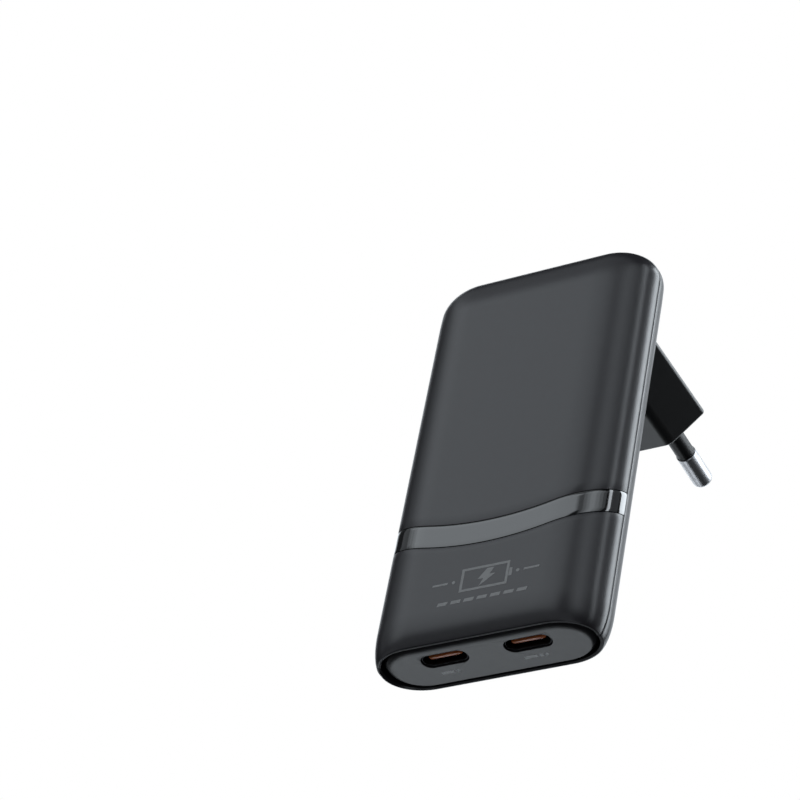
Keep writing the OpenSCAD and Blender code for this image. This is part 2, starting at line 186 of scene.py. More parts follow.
# The place is in metres and the angles are in degrees.
CAMERA_AT = (0.26559, -0.42684, -0.40635)
CAMERA_AZIMUTH, CAMERA_ELEVATION, CAMERA_ROLL = 36.528, -38.712, 11.824
CAMERA_LENS = 152.23
CAMERA_SHIFT = (-0.0105, 0.0082)

# The floor is in metres too. The backdrop is white to the eye and gives little light.
FLOOR_Z = -0.65
FLOOR_HALF = 20.0
FLOOR_GLOW = 0.9
BACKDROP_SHOWN = 1.0
BACKDROP_GIVEN = 0.035
LIGHT_TINT = (0.93, 1.0, 1.06)
LIGHTS = [
    # name, (first, last) heading, soft margins of those, (low, high) height, all in degrees,
    # and brightness
    ("left_far", (-176, -156), (0, 0), (10, 52), 0.22),
    ("front", (-139, -91), (14, 4), (10, 52), 1.38),
    ("right", (-60, -51), (13, 21), (10, 52), 1.45),
    ("edge_line", (-16.5, -9), (0, 0), (6, 60), 3.6),
    ("edge_soft", (-8, 20), (0, 0), (6, 60), 0.2),
    ("side", (35, 57), (0, 0), (6, 60), 5.2),
    ("back", (72, 110), (0, 0), (6, 60), 0.9),
    ("back_face", (118, 140), (8, 12), (8, 56), 1.35),
    ("back_low", (78, 138), (0, 0), (-9, 17), 1.4),
    ("low_front", (-75, -45), (0, 0), (-50, -20), 0.8),
    ("panel", (114, 140), (0, 0), (-51, -30), 2.1),
    ("level_left", (-172, -118), (0, 0), (-24, 2), 0.35),
    ("level_front", (-118, -60), (0, 0), (-22, 4), 0.35),
    ("level_right", (15, 75), (0, 0), (-13, 5), 0.4),
    ("top_front", (-150, -80), (0, 0), (51, 78), 0.3),
    ("level_back", (110, 180), (0, 0), (-28, -4), 0.45),
]
SOFT_LAYERS = 4
LIGHT_DISTANCE = 1.0


def place(x, y, z):
    """A point given in millimetres from the port end's centre, in the model's frame."""
    return Vector((x, y + MID_Y, z + PORT_END_Z)) * MM


def side_word(side):
    return "right" if side > 0 else "left"


# ---------------------------------------------------------------- mesh helpers

SHARP_ANGLE = 35


def new_object(name, bm, sharp_angle=SHARP_ANGLE):
    """Turns a bmesh into a piece: normals outwards, smooth except at sharp edges."""
    bmesh.ops.remove_doubles(bm, verts=bm.verts, dist=1e-7)
    bmesh.ops.recalc_face_normals(bm, faces=bm.faces)
    for face in bm.faces:
        face.smooth = True
    limit = math.radians(sharp_angle)
    for edge in bm.edges:
        if len(edge.link_faces) == 2 and edge.calc_face_angle(0) > limit:
            edge.smooth = False
    mesh = bpy.data.meshes.new(name)
    bm.to_mesh(mesh)
    bm.free()
    obj = bpy.data.objects.new(name, mesh)
    bpy.context.scene.collection.objects.link(obj)
    return obj


def flat_shaded(obj):
    """Keeps large flat faces evenly shaded beside their rounded edges."""
    even = obj.modifiers.new("even_shading", "WEIGHTED_NORMAL")
    even.keep_sharp = True
    even.weight = 80
    return obj


def belongs(obj, body, slot, material, *nodes):
    """Puts a piece on its body, with its material, in place of CAD nodes. The slot argument is not used."""
    if not obj.data.materials:
        obj.data.materials.append(material)
    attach(obj, body)
    if nodes:
        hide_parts(*nodes)


def bridge(bm, loop_a, loop_b, closed=True):
    """Quads between two rows of vertices of the same length."""
    count = len(loop_a)
    for i in range(count if closed else count - 1):
        j = (i + 1) % count
        bm.faces.new((loop_a[i], loop_a[j], loop_b[j], loop_b[i]))


def loft(bm, rings, cap_start=False, cap_end=False):
    """Rings of points, joined into a closed skin; the ends are capped if asked."""
    rows = [[bm.verts.new(p) for p in ring] for ring in rings]
    for a, b in zip(rows, rows[1:]):
        bridge(bm, a, b)
    if cap_start:
        bm.faces.new(rows[0])
    if cap_end:
        bm.faces.new(rows[-1])
    return rows


def fill_between(bm, *loops):
    """Flat face between loops of vertices: the first is the outline, the others are holes."""
    edges = []
    for loop in loops:
        for i, vert in enumerate(loop):
            other = loop[(i + 1) % len(loop)]
            edges.append(bm.edges.get((vert, other)) or bm.edges.new((vert, other)))
    bmesh.ops.triangle_fill(bm, use_beauty=True, use_dissolve=False, edges=edges)


def rounded_polygon(points, radii, steps=10):
    """Outline with each corner replaced by a tangent arc of its own radius."""
    out = []
    count = len(points)
    for i, corner in enumerate(points):
        corner = Vector(corner)
        before = (Vector(points[i - 1]) - corner).normalized()
        after = (Vector(points[(i + 1) % count]) - corner).normalized()
        half = before.angle(after) / 2
        radius = max(radii[i], 1e-4)
        centre = corner + (before + after).normalized() * radius / math.sin(half)
        start = corner + before * radius / math.tan(half) - centre
        end = corner + after * radius / math.tan(half) - centre
        sweep = start.angle_signed(end)
        for k in range(steps + 1):
            turn = -sweep * k / steps
            c, s = math.cos(turn), math.sin(turn)
            out.append(centre + Vector((start.x * c - start.y * s, start.x * s + start.y * c)))
    return out


def rounded_rect(half_w, half_h, radius, steps=10):
    corners = [(half_w, -half_h), (half_w, half_h), (-half_w, half_h), (-half_w, -half_h)]
    return rounded_polygon(corners, [min(radius, half_w, half_h) - 1e-3] * 4, steps)


def soft_rect(half_w, half_d, radius, steps=12):
    """Outline of the body's section: its corners are quarter ellipses, wider than deep."""
    wide = radius * CORNER_STRETCH
    out = []
    for quarter in range(4):
        middle = math.pi / 2 * (quarter + 0.5)
        x = math.copysign(half_w - wide, math.cos(middle))
        y = math.copysign(half_d - radius, math.sin(middle))
        for k in range(steps + 1):
            a = math.pi / 2 * (quarter + k / steps)
            out.append(Vector((x + wide * math.cos(a), y + radius * math.sin(a))))
    return out


def quarter_round(radius, steps):
    """Pairs (inset, drop) round a quarter circle, from the side wall to the top face."""
    turns = [math.pi / 2 * k / steps for k in range(steps + 1)]
    return [(radius * (1 - math.cos(a)), radius * (1 - math.sin(a))) for a in turns]


def lathe(name, profile, origin, axis, closed=False, segments=64):
    """Turned piece: profile is (radius, distance along axis) in millimetres.
    A closed profile runs back to its own start, which makes a tube."""
    bm = bmesh.new()
    turn = Vector((0, 0, 1)).rotation_difference(axis).to_matrix()
    rings = []
    for radius, along in profile:
        ring = []
        for k in range(segments):
            a = 2 * math.pi * k / segments
            local = Vector((radius * math.cos(a), radius * math.sin(a), along))
            ring.append(origin + turn @ local * MM)
        rings.append(ring)
    rows = loft(bm, rings, cap_start=not closed, cap_end=not closed)
    if closed:
        bridge(bm, rows[-1], rows[0])
    return new_object(name, bm)


def settle(obj):
    """Applies a piece's modifiers to its mesh, and marks its sharp edges."""
    evaluated = obj.evaluated_get(bpy.context.evaluated_depsgraph_get())
    mesh = bpy.data.meshes.new_from_object(evaluated)
    mesh.set_sharp_from_angle(angle=math.radians(SHARP_ANGLE))
    obj.modifiers.clear()
    obj.data = mesh


def combine(obj, other, operation="DIFFERENCE"):
    """Cuts another piece out of this one, or joins it on, and removes the other."""
    change = obj.modifiers.new("combine", "BOOLEAN")
    change.operation = operation
    change.solver = "EXACT"
    change.object = other
    settle(obj)
    bpy.data.objects.remove(other)


def cut_box(obj, low, high):
    """Cuts a box-shaped slot, given by two corners in millimetres, from a piece."""
    low, high = place(*low), place(*high)
    bm = bmesh.new()
    for vert in bmesh.ops.create_cube(bm, size=1.0)["verts"]:
        vert.co = Vector(tuple(low[i] if vert.co[i] < 0 else high[i] for i in range(3)))
    combine(obj, new_object("slot_cutter", bm))


def cut_rings(obj, rings):
    """Cuts the space inside a run of rings out of a piece."""
    bm = bmesh.new()
    loft(bm, rings, cap_start=True, cap_end=True)
    combine(obj, new_object("hollow_cutter", bm))


# ---------------------------------------------------------------- the body's surface


def port_rounding(z):
    """How far the section draws in towards the port end, across and through."""
    u = max(0.0, (PORT_ROUND_H - z) / PORT_ROUND_SPAN)
    fall = 1 - math.sqrt(max(0.0, 1 - u * u))
    return PORT_INSET_X * fall, PORT_INSET_Y * fall


def top_rounding(z, height, span, depth):
    """How far the section draws in towards the blunt end, over a span of height."""
    rise = min(1.0, max(0.0, z - (height - span)) / span)
    return depth * (1 - math.sqrt(1 - rise * rise))


def section(z, inset, cap):
    """Half width, half thickness and corner radius of the body at one height."""
    height = BODY_H - inset
    port_x, port_y = port_rounding(z) if inset < WALL else (0.0, 0.0)
    drop_x = top_rounding(z, height, TOP_SIDE_R - inset, TOP_SIDE_R - inset)
    drop_y = top_rounding(z, height, TOP_FACE_H - inset, TOP_FACE_R - inset)
    half_w = BODY_W / 2 - inset - port_x - drop_x - cap
    half_d = BODY_D / 2 - inset - port_y - drop_y - cap
    shrink = inset + max(port_x, port_y) + TOP_CORNER_SHARE * drop_y + cap
    return half_w, half_d, max(CORNER_R - shrink, LEAST_CORNER_R)


class Column:
    """One line of points up the body. t runs from 0 to 1 over its part, and is negative on the left."""

    def __init__(self, part, t):
        self.part = part
        self.t = t

    def at(self, half_w, half_d, radius):
        """Distance across and out from the middle plane, in a section of that size."""
        side = math.copysign(1, self.t)
        t = abs(self.t)
        seam = SEAM / 2
        wide = radius * CORNER_STRETCH
        if self.part == "flat":
            return side * t * (half_w - wide), half_d
        if self.part == "arc":
            a = t * math.pi / 2
            across = half_w - wide + wide * math.sin(a)
            return side * across, max(half_d - radius + radius * math.cos(a), seam)
        return side * half_w, seam + max(half_d - radius - seam, 0.0) * (1 - t)

    def distance(self):
        """Distance from the centre line along the surface of the body's full section."""
        t = abs(self.t)
        if self.part == "flat":
            return t * FLAT_HALF
        if self.part == "arc":
            return FLAT_HALF + corner_length(t)
        return SIDE_ARC + t * (BODY_D / 2 - CORNER_R)


def spread(start, stop, step):
    """Even values from start to stop, no further apart than step."""
    count = max(1, math.ceil(abs(stop - start) / step - 1e-6))
    return [start + (stop - start) * k / count for k in range(count + 1)]


def columns(flat_xs, arc_ts):
    """Columns from the left seam, round the face, to the right seam."""
    seam_length = BODY_D / 2 - CORNER_R - SEAM / 2
    right = [Column("flat", x / FLAT_HALF) for x in flat_xs]
    right += [Column("arc", t) for t in arc_ts]
    right += [Column("straight", 1 - k * EDGE / seam_length) for k in (1.0, SOFTEN, 0.0)]
    left = [Column(c.part, -c.t) for c in reversed(right)]
    return left + [Column("flat", 0.0)] + right


def body_point(column, z, inset, side, cap=0.0, dent=None):
    """A point of the body's skin, drawn in by inset; side is -1 in front and 1 behind."""
    level = min(z, BODY_H - inset)
    half_w, half_d, radius = section(level, inset, cap)
    x, out = column.at(half_w, half_d, min(radius, half_d))
    if dent:
        out = dent(x, out, level, inset)
    return place(x, side * out, level)


def ink_dent(x, out, z, inset):
    """Draws the front in by the ink's thickness, so that the ink ends at the body's full depth."""
    return out * (1 - INK_T / (BODY_D / 2))


def wave_height(h, column):
    """Height of a row that stands at h on the centre line: it follows the wave near the stripe."""
    low, high = WAVE_LOW - WAVE_MARGIN, WAVE_LOW + WAVE_W + WAVE_MARGIN
    if h < low:
        follow = max(0.0, (h - PORT_ROUND_H) / (low - PORT_ROUND_H))
    else:
        follow = max(0.0, 1 - max(0.0, h - high) / WAVE_FADE)
    follow = follow * follow * (3 - 2 * follow)
    return h + follow * WAVE_RISE * column.distance() ** 2


def skin(name, side, cols, rows, materials, dent=None):
    """Closed shell half: rows are (height on the centre line, depth, cap), from bottom to top.
    The lip round the port end takes the second material, which paints a highlight along the rim."""
    bm = bmesh.new()
    last = len(cols) - 1

    def grid(inset):
        out = []
        for h, depth, cap in rows:
            line = []
            for c, column in enumerate(cols):
                z = wave_height(h, column) if side < 0 else h
                near = min(c, last - c)
                deep = inset or depth + (EDGE, SOFTEN * EDGE, 0.0)[min(near, 2)]
                if inset and z <= RIM_CHAMFER:
                    z, deep = RIM_CHAMFER, inset + RIM_LIP
                line.append(bm.verts.new(body_point(column, z, deep, side, cap, dent)))
            out.append(line)
        return out

    outer, inner = grid(0.0), grid(WALL)
    for k, (a, b) in enumerate(zip(outer, outer[1:])):
        bridge(bm, a, b, closed=False)
        # The rim rows below this take the painted highlight material.
        if k + 1 == LIP_HIGHLIGHT_ROWS:
            for face in bm.faces:
                face.material_index = 1
    for a, b in zip(inner, inner[1:]):
        bridge(bm, b, a, closed=False)
    for row in (0, -1):
        bridge(bm, outer[row], inner[row], closed=False)
    for c in (0, last):
        bridge(bm, [line[c] for line in outer], [line[c] for line in inner], closed=False)
    obj = new_object(name, bm)
    for material in materials:
        obj.data.materials.append(material)
    return obj


def port_rows():
    """Rows from the port rim up through its rounding."""
    end = math.asin(PORT_ROUND_H / PORT_ROUND_SPAN)
    turns = spread(end, 0, TURN_STEP)[1:]
    rows = [(PORT_ROUND_H - PORT_ROUND_SPAN * math.sin(a), 0.0, 0.0) for a in turns]
    lip = [(drop, inset, 0.0) for inset, drop in reversed(quarter_round(RIM_EDGE, LIP_STEPS))]
    return lip + rows


def top_rows():
    """Rows round the blunt end, then in over its flat cap to the seam."""
    turns = spread(0, math.pi / 2, TURN_STEP)
    rows = [(BODY_H - TOP_FACE_H * (1 - math.sin(a)), 0.0, 0.0) for a in turns]
    half_d = BODY_D / 2 - TOP_FACE_R - SEAM / 2
    rows += [(BODY_H, 0.0, cap) for cap in spread(0, half_d - EDGE, CAP_STEP)[1:]]
    return rows + [(BODY_H, SOFTEN * EDGE, half_d - SOFTEN * EDGE), (BODY_H, EDGE, half_d)]


def front_rows():
    """Rows of the front shell, with the groove and pocket of the stripe pressed in."""
    low, high = WAVE_LOW - WAVE_GROOVE, WAVE_LOW + WAVE_W + WAVE_GROOVE
    lip = SOFTEN * LIP
    rows = port_rows()
    rows += [(h, 0.0, 0.0) for h in spread(PORT_ROUND_H, low - LIP, FACE_STEP)[1:]]
    rows += [(low - lip, lip, 0.0), (low, LIP, 0.0), (low, WAVE_POCKET, 0.0)]
    rows += [(h, WAVE_POCKET, 0.0) for h in spread(low, high, FACE_STEP)[1:]]
    rows += [(high, LIP, 0.0), (high + lip, lip, 0.0), (high + LIP, 0.0, 0.0)]
    rows += [(h, 0.0, 0.0) for h in spread(high + LIP, BODY_H - TOP_FACE_H, LONG_STEP)[1:-1]]
    return rows + top_rows()


def recess_share(x, z):
    """1 in the pocket behind the plug head, 0 outside it, with a soft slope between."""
    across = abs(x) - (RECESS_HALF - RECESS_R)
    below = (RECESS_LOW + RECESS_R) - z
    if across > 0 and below > 0:
        outside = math.hypot(across, below) - RECESS_R
    else:
        outside = max(across, below) - RECESS_R
    share = min(1.0, max(0.0, 1 - outside / RECESS_SLOPE))
    return share * share * (3 - 2 * share)


def recess_dent(x, out, z, inset):
    """Presses the pocket into the back: its floor is flat, so it fades out round the blunt end."""
    floor = BODY_D / 2 - RECESS_D - inset
    return out - recess_share(x, z) * max(0.0, out - floor)


def rear_rows():
    """Rows of the rear shell: the closer together, the nearer to the pocket's lower edge."""
    rows = port_rows()
    start = PORT_ROUND_H
    for stop, step in ((RECESS_LOW - 1.2, 4.0), (RECESS_LOW + 0.2, 0.14),
                       (RECESS_LOW + RECESS_R, 0.25)):
        rows += [(h, 0.0, 0.0) for h in spread(start, stop, step)[1:]]
        start = stop
    rows += [(h, 0.0, 0.0) for h in spread(start, BODY_H - TOP_FACE_H, 3.0)[1:-1]]
    return rows + top_rows()


def stripe_strip(name, cols):
    """The gloss strip that lies in the front shell's pocket, flush with its skin."""
    bm = bmesh.new()
    low, high = WAVE_LOW, WAVE_LOW + WAVE_W
    lip = SOFTEN * LIP
    profile = [(low, WAVE_T), (low, LIP), (low + lip, lip)]
    profile += [(h, 0.0) for h in spread(low + LIP, high - LIP, 0.8)]
    profile += [(high - lip, lip), (high, LIP), (high, WAVE_T)]
    rings = []
    for column in cols:
        ring = [body_point(column, wave_height(h, column), deep, -1, 0.0, ink_dent)
                for h, deep in profile]
        rings.append(ring)
    loft(bm, rings, cap_start=True, cap_end=True)
    return new_object(name, bm)


# ---------------------------------------------------------------- materials


class Look:
    """A node material under construction: one Principled shader and the patterns that feed it."""

    def __init__(self, name, colour, roughness, metallic=0.0):
        self.material = bpy.data.materials.new(name)
        self.material.use_nodes = True
        self.tree = self.material.node_tree
        self.shader = self.tree.nodes["Principled BSDF"]
        self.shader.inputs["Base Color"].default_value = (*colour, 1)
        self.shader.inputs["Roughness"].default_value = roughness
        self.shader.inputs["Metallic"].default_value = metallic
        self.coords = self.tree.nodes.new("ShaderNodeTexCoord").outputs["Object"]
        self.height = None

    def noise(self, size, detail=2.0, stretch=(1, 1, 1)):
        """Noise whose features are about size millimetres across."""
        mapping = self.tree.nodes.new("ShaderNodeMapping")
        mapping.inputs["Scale"].default_value = [s / (size * MM) for s in stretch]
        pattern = self.tree.nodes.new("ShaderNodeTexNoise")
        pattern.inputs["Scale"].default_value = 1.0
        pattern.inputs["Detail"].default_value = detail
        self.tree.links.new(self.coords, mapping.inputs["Vector"])
        self.tree.links.new(mapping.outputs["Vector"], pattern.inputs["Vector"])
        return pattern.outputs["Fac"]

    def vary_colour(self, pattern, dark, light):
        ramp = self.tree.nodes.new("ShaderNodeValToRGB")
        ramp.color_ramp.elements[0].position = 0.3
        ramp.color_ramp.elements[1].position = 0.7
        ramp.color_ramp.elements[0].color = (*dark, 1)
        ramp.color_ramp.elements[1].color = (*light, 1)
        self.tree.links.new(pattern, ramp.inputs["Fac"])
        self.tree.links.new(ramp.outputs["Color"], self.shader.inputs["Base Color"])
        return self

    def vary_roughness(self, pattern, low, high):
        levels = self.tree.nodes.new("ShaderNodeMapRange")
        levels.inputs["From Min"].default_value = 0.3
        levels.inputs["From Max"].default_value = 0.7
        levels.inputs["To Min"].default_value = low
        levels.inputs["To Max"].default_value = high
        self.tree.links.new(pattern, levels.inputs["Value"])
        self.tree.links.new(levels.outputs["Result"], self.shader.inputs["Roughness"])
        return self

    def bump(self, pattern, height, strength):
        """Bump of about height millimetres; a second call adds to the first."""
        node = self.tree.nodes.new("ShaderNodeBump")
        node.inputs["Distance"].default_value = height * MM
        node.inputs["Strength"].default_value = strength
        self.tree.links.new(pattern, node.inputs["Height"])
        if self.height:
            self.tree.links.new(self.height, node.inputs["Normal"])
        self.height = node.outputs["Normal"]
        self.tree.links.new(self.height, self.shader.inputs["Normal"])
        return self

    def socket(self, name, value):
        self.shader.inputs[name].default_value = value
        return self


def scaled(colour, factor):
    return tuple(c * factor for c in colour)


def moulded(name, colour, roughness, grain=0.12, strength=0.25):
    """Moulded plastic with a fine spark-eroded texture and slight changes of sheen."""
    look = Look(name, colour, roughness)
    look.vary_colour(look.noise(2, 4), scaled(colour, 0.95), scaled(colour, 1.05))
    look.vary_roughness(look.noise(1.2, 3), roughness - 0.012, roughness + 0.012)
    look.bump(look.noise(grain, 2), 0.004, strength)
    return look


def metal(name, colour, roughness, grain=0.3, stretch=(1, 1, 1), strength=0.15):
    """Metal with a fine drawn or stamped grain."""
    look = Look(name, colour, roughness, 1.0)
    look.vary_roughness(look.noise(grain, 3, stretch), roughness * 0.8, roughness * 1.25)
    look.bump(look.noise(grain, 2, stretch), 0.002, strength)
    return look


def shell_plastic():
    return moulded("shell_plastic", (0.0158, 0.0145, 0.0175), 0.30).material


def shell_lip_highlight():
    """The shell's lip round the port end, painted far brighter than its skin: a painted highlight along the rim.
    """
    return moulded("shell_lip_highlight", (0.20, 0.201, 0.206), 0.32).material


def plug_plastic():
    return moulded("plug_plastic", (0.0085, 0.0085, 0.009), 0.34, 0.14, 0.3).material


def panel_plastic():
    return moulded("panel_plastic", (0.015, 0.0145, 0.0165), 0.33).material


def stripe_gloss():
    look = Look("stripe_gloss", (0.004, 0.0042, 0.0045), 0.09)
    look.vary_roughness(look.noise(5, 3), 0.08, 0.10)
    return look.socket("IOR", 1.88).material


def mark_ink(name, grey):
    """Grey printing ink, slightly uneven."""
    look = Look(name, (grey, grey, grey), 0.45)
    look.vary_colour(look.noise(0.4, 2), (0.92 * grey,) * 3, (1.08 * grey,) * 3)
    return look.vary_roughness(look.noise(0.5, 2), 0.4, 0.5).material


def layered(name, colour, roughness, pitch, axis, strength=0.5):
    """Wound tape or wire: fine ridges across one axis, a pitch in millimetres apart."""
    look = Look(name, colour, roughness)
    stretch = tuple(1.0 if k == axis else 0.02 for k in range(3))
    look.vary_colour(look.noise(pitch * 3, 3, stretch), scaled(colour, 0.8), scaled(colour, 1.15))
    look.vary_roughness(look.noise(2, 3), roughness * 0.8, roughness * 1.2)
    look.bump(look.noise(pitch, 1, stretch), pitch / 4, strength)
    return look.material


def epoxy(name, colour=(0.022, 0.022, 0.024)):
    """Filled black epoxy of a chip package: matt, with a fine sandy grain."""
    look = Look(name, colour, 0.6)
    look.vary_colour(look.noise(0.25, 4), scaled(colour, 0.8), scaled(colour, 1.3))
    look.vary_roughness(look.noise(0.8, 3), 0.5, 0.7)
    return look.bump(look.noise(0.1, 3), 0.006, 0.4).material


def board_laminate():
    """Green solder mask over woven glass."""
    look = Look("board_laminate", (0.02, 0.12, 0.05), 0.3)
    look.vary_colour(look.noise(0.5, 2, (1, 0.3, 0.12)), (0.016, 0.10, 0.04), (0.026, 0.14, 0.06))
    look.vary_roughness(look.noise(2, 3), 0.24, 0.36)
    look.bump(look.noise(0.35, 2, (0.2, 1, 1)), 0.004, 0.3)
    return look.socket("Coat Weight", 0.3).socket("Coat Roughness", 0.15).material


def ferrite():
    """Pressed ferrite: dark grey, dull and slightly pitted."""
    look = Look("ferrite", (0.05, 0.05, 0.053), 0.65)
    look.vary_colour(look.noise(0.6, 5), (0.038, 0.038, 0.04), (0.065, 0.065, 0.068))
    look.vary_roughness(look.noise(1.2, 3), 0.55, 0.75)
    return look.bump(look.noise(0.2, 4), 0.01, 0.5).material


def sheet_film():
    """Milky insulating film."""
    look = moulded("sheet_film", (0.62, 0.62, 0.58), 0.35, 0.6, 0.15)
    return look.socket("Subsurface Weight", 0.1).socket("Subsurface Radius", (0.001,) * 3).material


def node_looks(plug):
    """Material and edge radius in millimetres of each CAD node that stays in view as it is."""
    sheet_metal = metal("spreader_metal", (0.72, 0.73, 0.75), 0.35, 0.25, (0.1, 1, 1), 0.2).material
    can_metal = metal("can_metal", (0.66, 0.67, 0.69), 0.25, 0.3, (1, 1, 0.1), 0.1).material
    gold = metal("contact_gold", (0.72, 0.46, 0.17), 0.25, 0.1).material
    bronze = metal("contact_bronze", (0.72, 0.40, 0.22), 0.3, 0.2, (1, 0.2, 1), 0.15).material
    chip = epoxy("chip_epoxy")
    looks = {
        "main_board": (board_laminate(), 0.05),
        "insulation_sheet": (sheet_film(), 0.03),
        "heat_spreader": (sheet_metal, 0.08),
        "transformer_core": (ferrite(), 0.2),
        "transformer_winding": (layered("winding_tape", (0.72, 0.50, 0.06), 0.35, 0.4, 2), 0.25),
        "bulk_capacitors": (moulded("capacitor_sleeve", (0.02, 0.02, 0.024), 0.25).material, 0.2),
        "output_capacitors": (can_metal, 0.15),
        "film_capacitor": (moulded("film_box", (0.65, 0.45, 0.05), 0.4).material, 0.25),
        "choke_core": (moulded("core_coating", (0.05, 0.20, 0.09), 0.35).material, 0.2),
        "choke_winding": (layered("enamel_wire", (0.62, 0.23, 0.09), 0.22, 0.5, 0), 0.15),
        "fuse": (moulded("fuse_case", (0.35, 0.25, 0.15), 0.45).material, 0.2),
        "pin_carrier": (moulded("carrier_plastic", (0.16, 0.16, 0.165), 0.45).material, 0.15),
        "plug_base_plate": (plug, 0.12),
    }
    for node in ("bridge_rectifier", "control_chips", "power_switch"):
        looks[node] = (chip, 0.08)
    for side in SIDES:
        looks["usb_c_%s_contacts" % side_word(side)] = (gold, 0.01)
        looks["input_contact_" + side_word(side)] = (bronze, 0.05)
        looks["terminal_" + side_word(side)] = (bronze, 0.05)
    return looks


def dress(node, material, bevel):
    """Gives a CAD node its material and softens its edges; its mesh stays as it is."""
    obj = frame["nodes"][node]
    if not obj.material_slots:
        obj.data.materials.append(material)
    for slot in obj.material_slots:
        slot.material = material
    soft = obj.modifiers.new("soft_edges", "BEVEL")
    soft.width = bevel * MM
    soft.segments = 2
    soft.limit_method = "ANGLE"
    soft.angle_limit = math.radians(40)


def tongue_plastic():
    """Orange plastic of a socket's tongue."""
    look = moulded("tongue_plastic", (0.92, 0.235, 0.07), 0.22, 0.1, 0.1)
    return look.socket("IOR", 1.6).material


def pin_metal():
    look = Look("pin_metal", (0.44, 0.44, 0.455), 0.36, 1.0)
    look.vary_colour(look.noise(3, 2), (0.42, 0.42, 0.435), (0.46, 0.46, 0.475))
    return look.vary_roughness(look.noise(2, 2), 0.34, 0.38).material


def sleeve_plastic():
    look = moulded("sleeve_plastic", (0.006, 0.006, 0.0065), 0.4, 0.4, 0.04)
    return look.socket("IOR", 1.35).material


# ---------------------------------------------------------------- ports


def port_panel():
    """Inset panel with a soft rolled edge and two socket openings."""
    half_w = (panel_high.x - panel_low.x) / MM / 2 - PANEL_BACK_OFF
    half_d = (panel_high.y - panel_low.y) / MM / 2 - PANEL_BACK_OFF
    face_z = (panel_low.z - front_low.z) / MM
    back_z = (panel_high.z - front_low.z) / MM
    bm = bmesh.new()

    def ring(inset, z, steps=14):
        share = inset / PANEL_ROLL
        outline = soft_rect(half_w - share * PANEL_ROLL_X, half_d - inset,
                            PANEL_CORNER_R - inset, steps)
        return [place(p.x, p.y + share * PANEL_FACE_SHIFT, z) for p in outline]

    rings = [ring(0, back_z)]
    rings += [ring(inset, face_z + drop) for inset, drop in quarter_round(PANEL_ROLL, 8)]
    rows = loft(bm, rings)
    mouths, backs = [], []
    for side in SIDES:
        hole_rings = []
        soft = SOFTEN * HOLE_EDGE
        for grow, z in ((HOLE_EDGE, face_z), (soft, face_z + soft),
                        (0, face_z + HOLE_EDGE), (0, back_z)):
            outline = rounded_rect(HOLE_W / 2 + grow, HOLE_H / 2 + grow, HOLE_H / 2 + grow)
            hole_rings.append([place(p.x + side * PORT_X, p.y + PORT_Y, z) for p in outline])
        hole_rows = loft(bm, hole_rings)
        mouths.append(hole_rows[0])
        backs.append(hole_rows[-1])
    fill_between(bm, rows[-1], *mouths)
    fill_between(bm, rows[0], *backs)
    return flat_shaded(new_object("port_panel_moulding", bm))


def socket_box(node):
    """Middle, half size and (low, high) height of a socket's CAD node."""
    low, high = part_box(node)
    middle = (low.x + high.x) / MM / 2, (low.y + high.y) / MM / 2 - MID_Y
    half = (high.x - low.x) / MM / 2, (high.y - low.y) / MM / 2
    return middle, half, (low.z / MM - PORT_END_Z, high.z / MM - PORT_END_Z)


def socket_shell(side):
    """Drawn metal shell of one socket, with a rolled mouth."""
    (mid_x, mid_y), (half_w, half_h), (z0, z1) = socket_box("usb_c_%s_shell" % side_word(side))
    thin = SOCKET_WALL
    roll = [(thin / 2 * (1 - math.cos(a)), thin / 2 * (1 - math.sin(a)))
            for a in spread(0, math.pi, math.pi / 8)]
    path = [(0, z1)] + [(inset, z0 + drop) for inset, drop in roll] + [(thin, z1)]
    bm = bmesh.new()
    rings = []
    for inset, z in path:
        outline = rounded_rect(half_w - inset, half_h - inset, half_h - inset)
        rings.append([place(p.x + mid_x, p.y + mid_y, z) for p in outline])
    rows = loft(bm, rings)
    bridge(bm, rows[-1], rows[0])
    return new_object("socket_shell_" + side_word(side), bm)


def socket_tongue(side):
    """Tongue with a chamfered nose, on the block that closes the socket behind it."""
    (mid_x, mid_y), (half_w, half_h), (z0, z1) = socket_box("usb_c_%s_tongue" % side_word(side))
    wide, thick, step_z = TONGUE_W / 2, TONGUE_T / 2, z0 + TONGUE_LEN
    bm = bmesh.new()
    rings = []
    for across, deep, radius, z in (
        (wide - TONGUE_NOSE, thick - TONGUE_BEVEL, TONGUE_R, z0),
        (wide - TONGUE_BEVEL, thick, TONGUE_R, z0 + TONGUE_R),
        (wide, thick, TONGUE_R, z0 + TONGUE_NOSE),
        (wide, thick, thick, step_z),
        (half_w, half_h, half_h, step_z),
        (half_w, half_h, half_h, z1),
    ):
        outline = rounded_rect(across, deep, radius, 8)
        rings.append([place(p.x + mid_x, p.y + mid_y, z) for p in outline])
    loft(bm, rings, cap_start=True, cap_end=True)
    return new_object("socket_tongue_" + side_word(side), bm)


# ---------------------------------------------------------------- plug head

PLUG_SHARP_ANGLE = 40


def neck_ring(inset, y):
    """Neck outline at one depth: an elongated hexagon with small tips and soft shoulders."""
    root2 = math.sqrt(2)
    point = NECK_W / 2 + (root2 - 1) * NECK_TIP_R - inset * root2
    side = NECK_H / 2 - inset
    corners = [(point, 0), (point - side, side), (side - point, side),
               (-point, 0), (side - point, -side), (point - side, -side)]
    tip, shoulder = max(NECK_TIP_R - inset, 0.1), max(NECK_SHOULDER_R - inset, 0.3)
    outline = rounded_polygon(corners, [tip, shoulder, shoulder] * 2)
    return [Vector((p.x, y, p.y)) * MM for p in outline]


def block_ring(inset, y):
    """Base block outline at one depth."""
    half_w = BLOCK_W / 2 - inset
    half_h = (plug_high.z - plug_low.z) / MM / 2 - inset
    mid_z = (plug_high.z + plug_low.z) / MM / 2
    outline = rounded_rect(half_w, half_h, BLOCK_R - 0.3 * inset)
    return [Vector((p.x, y, p.y + mid_z)) * MM for p in outline]


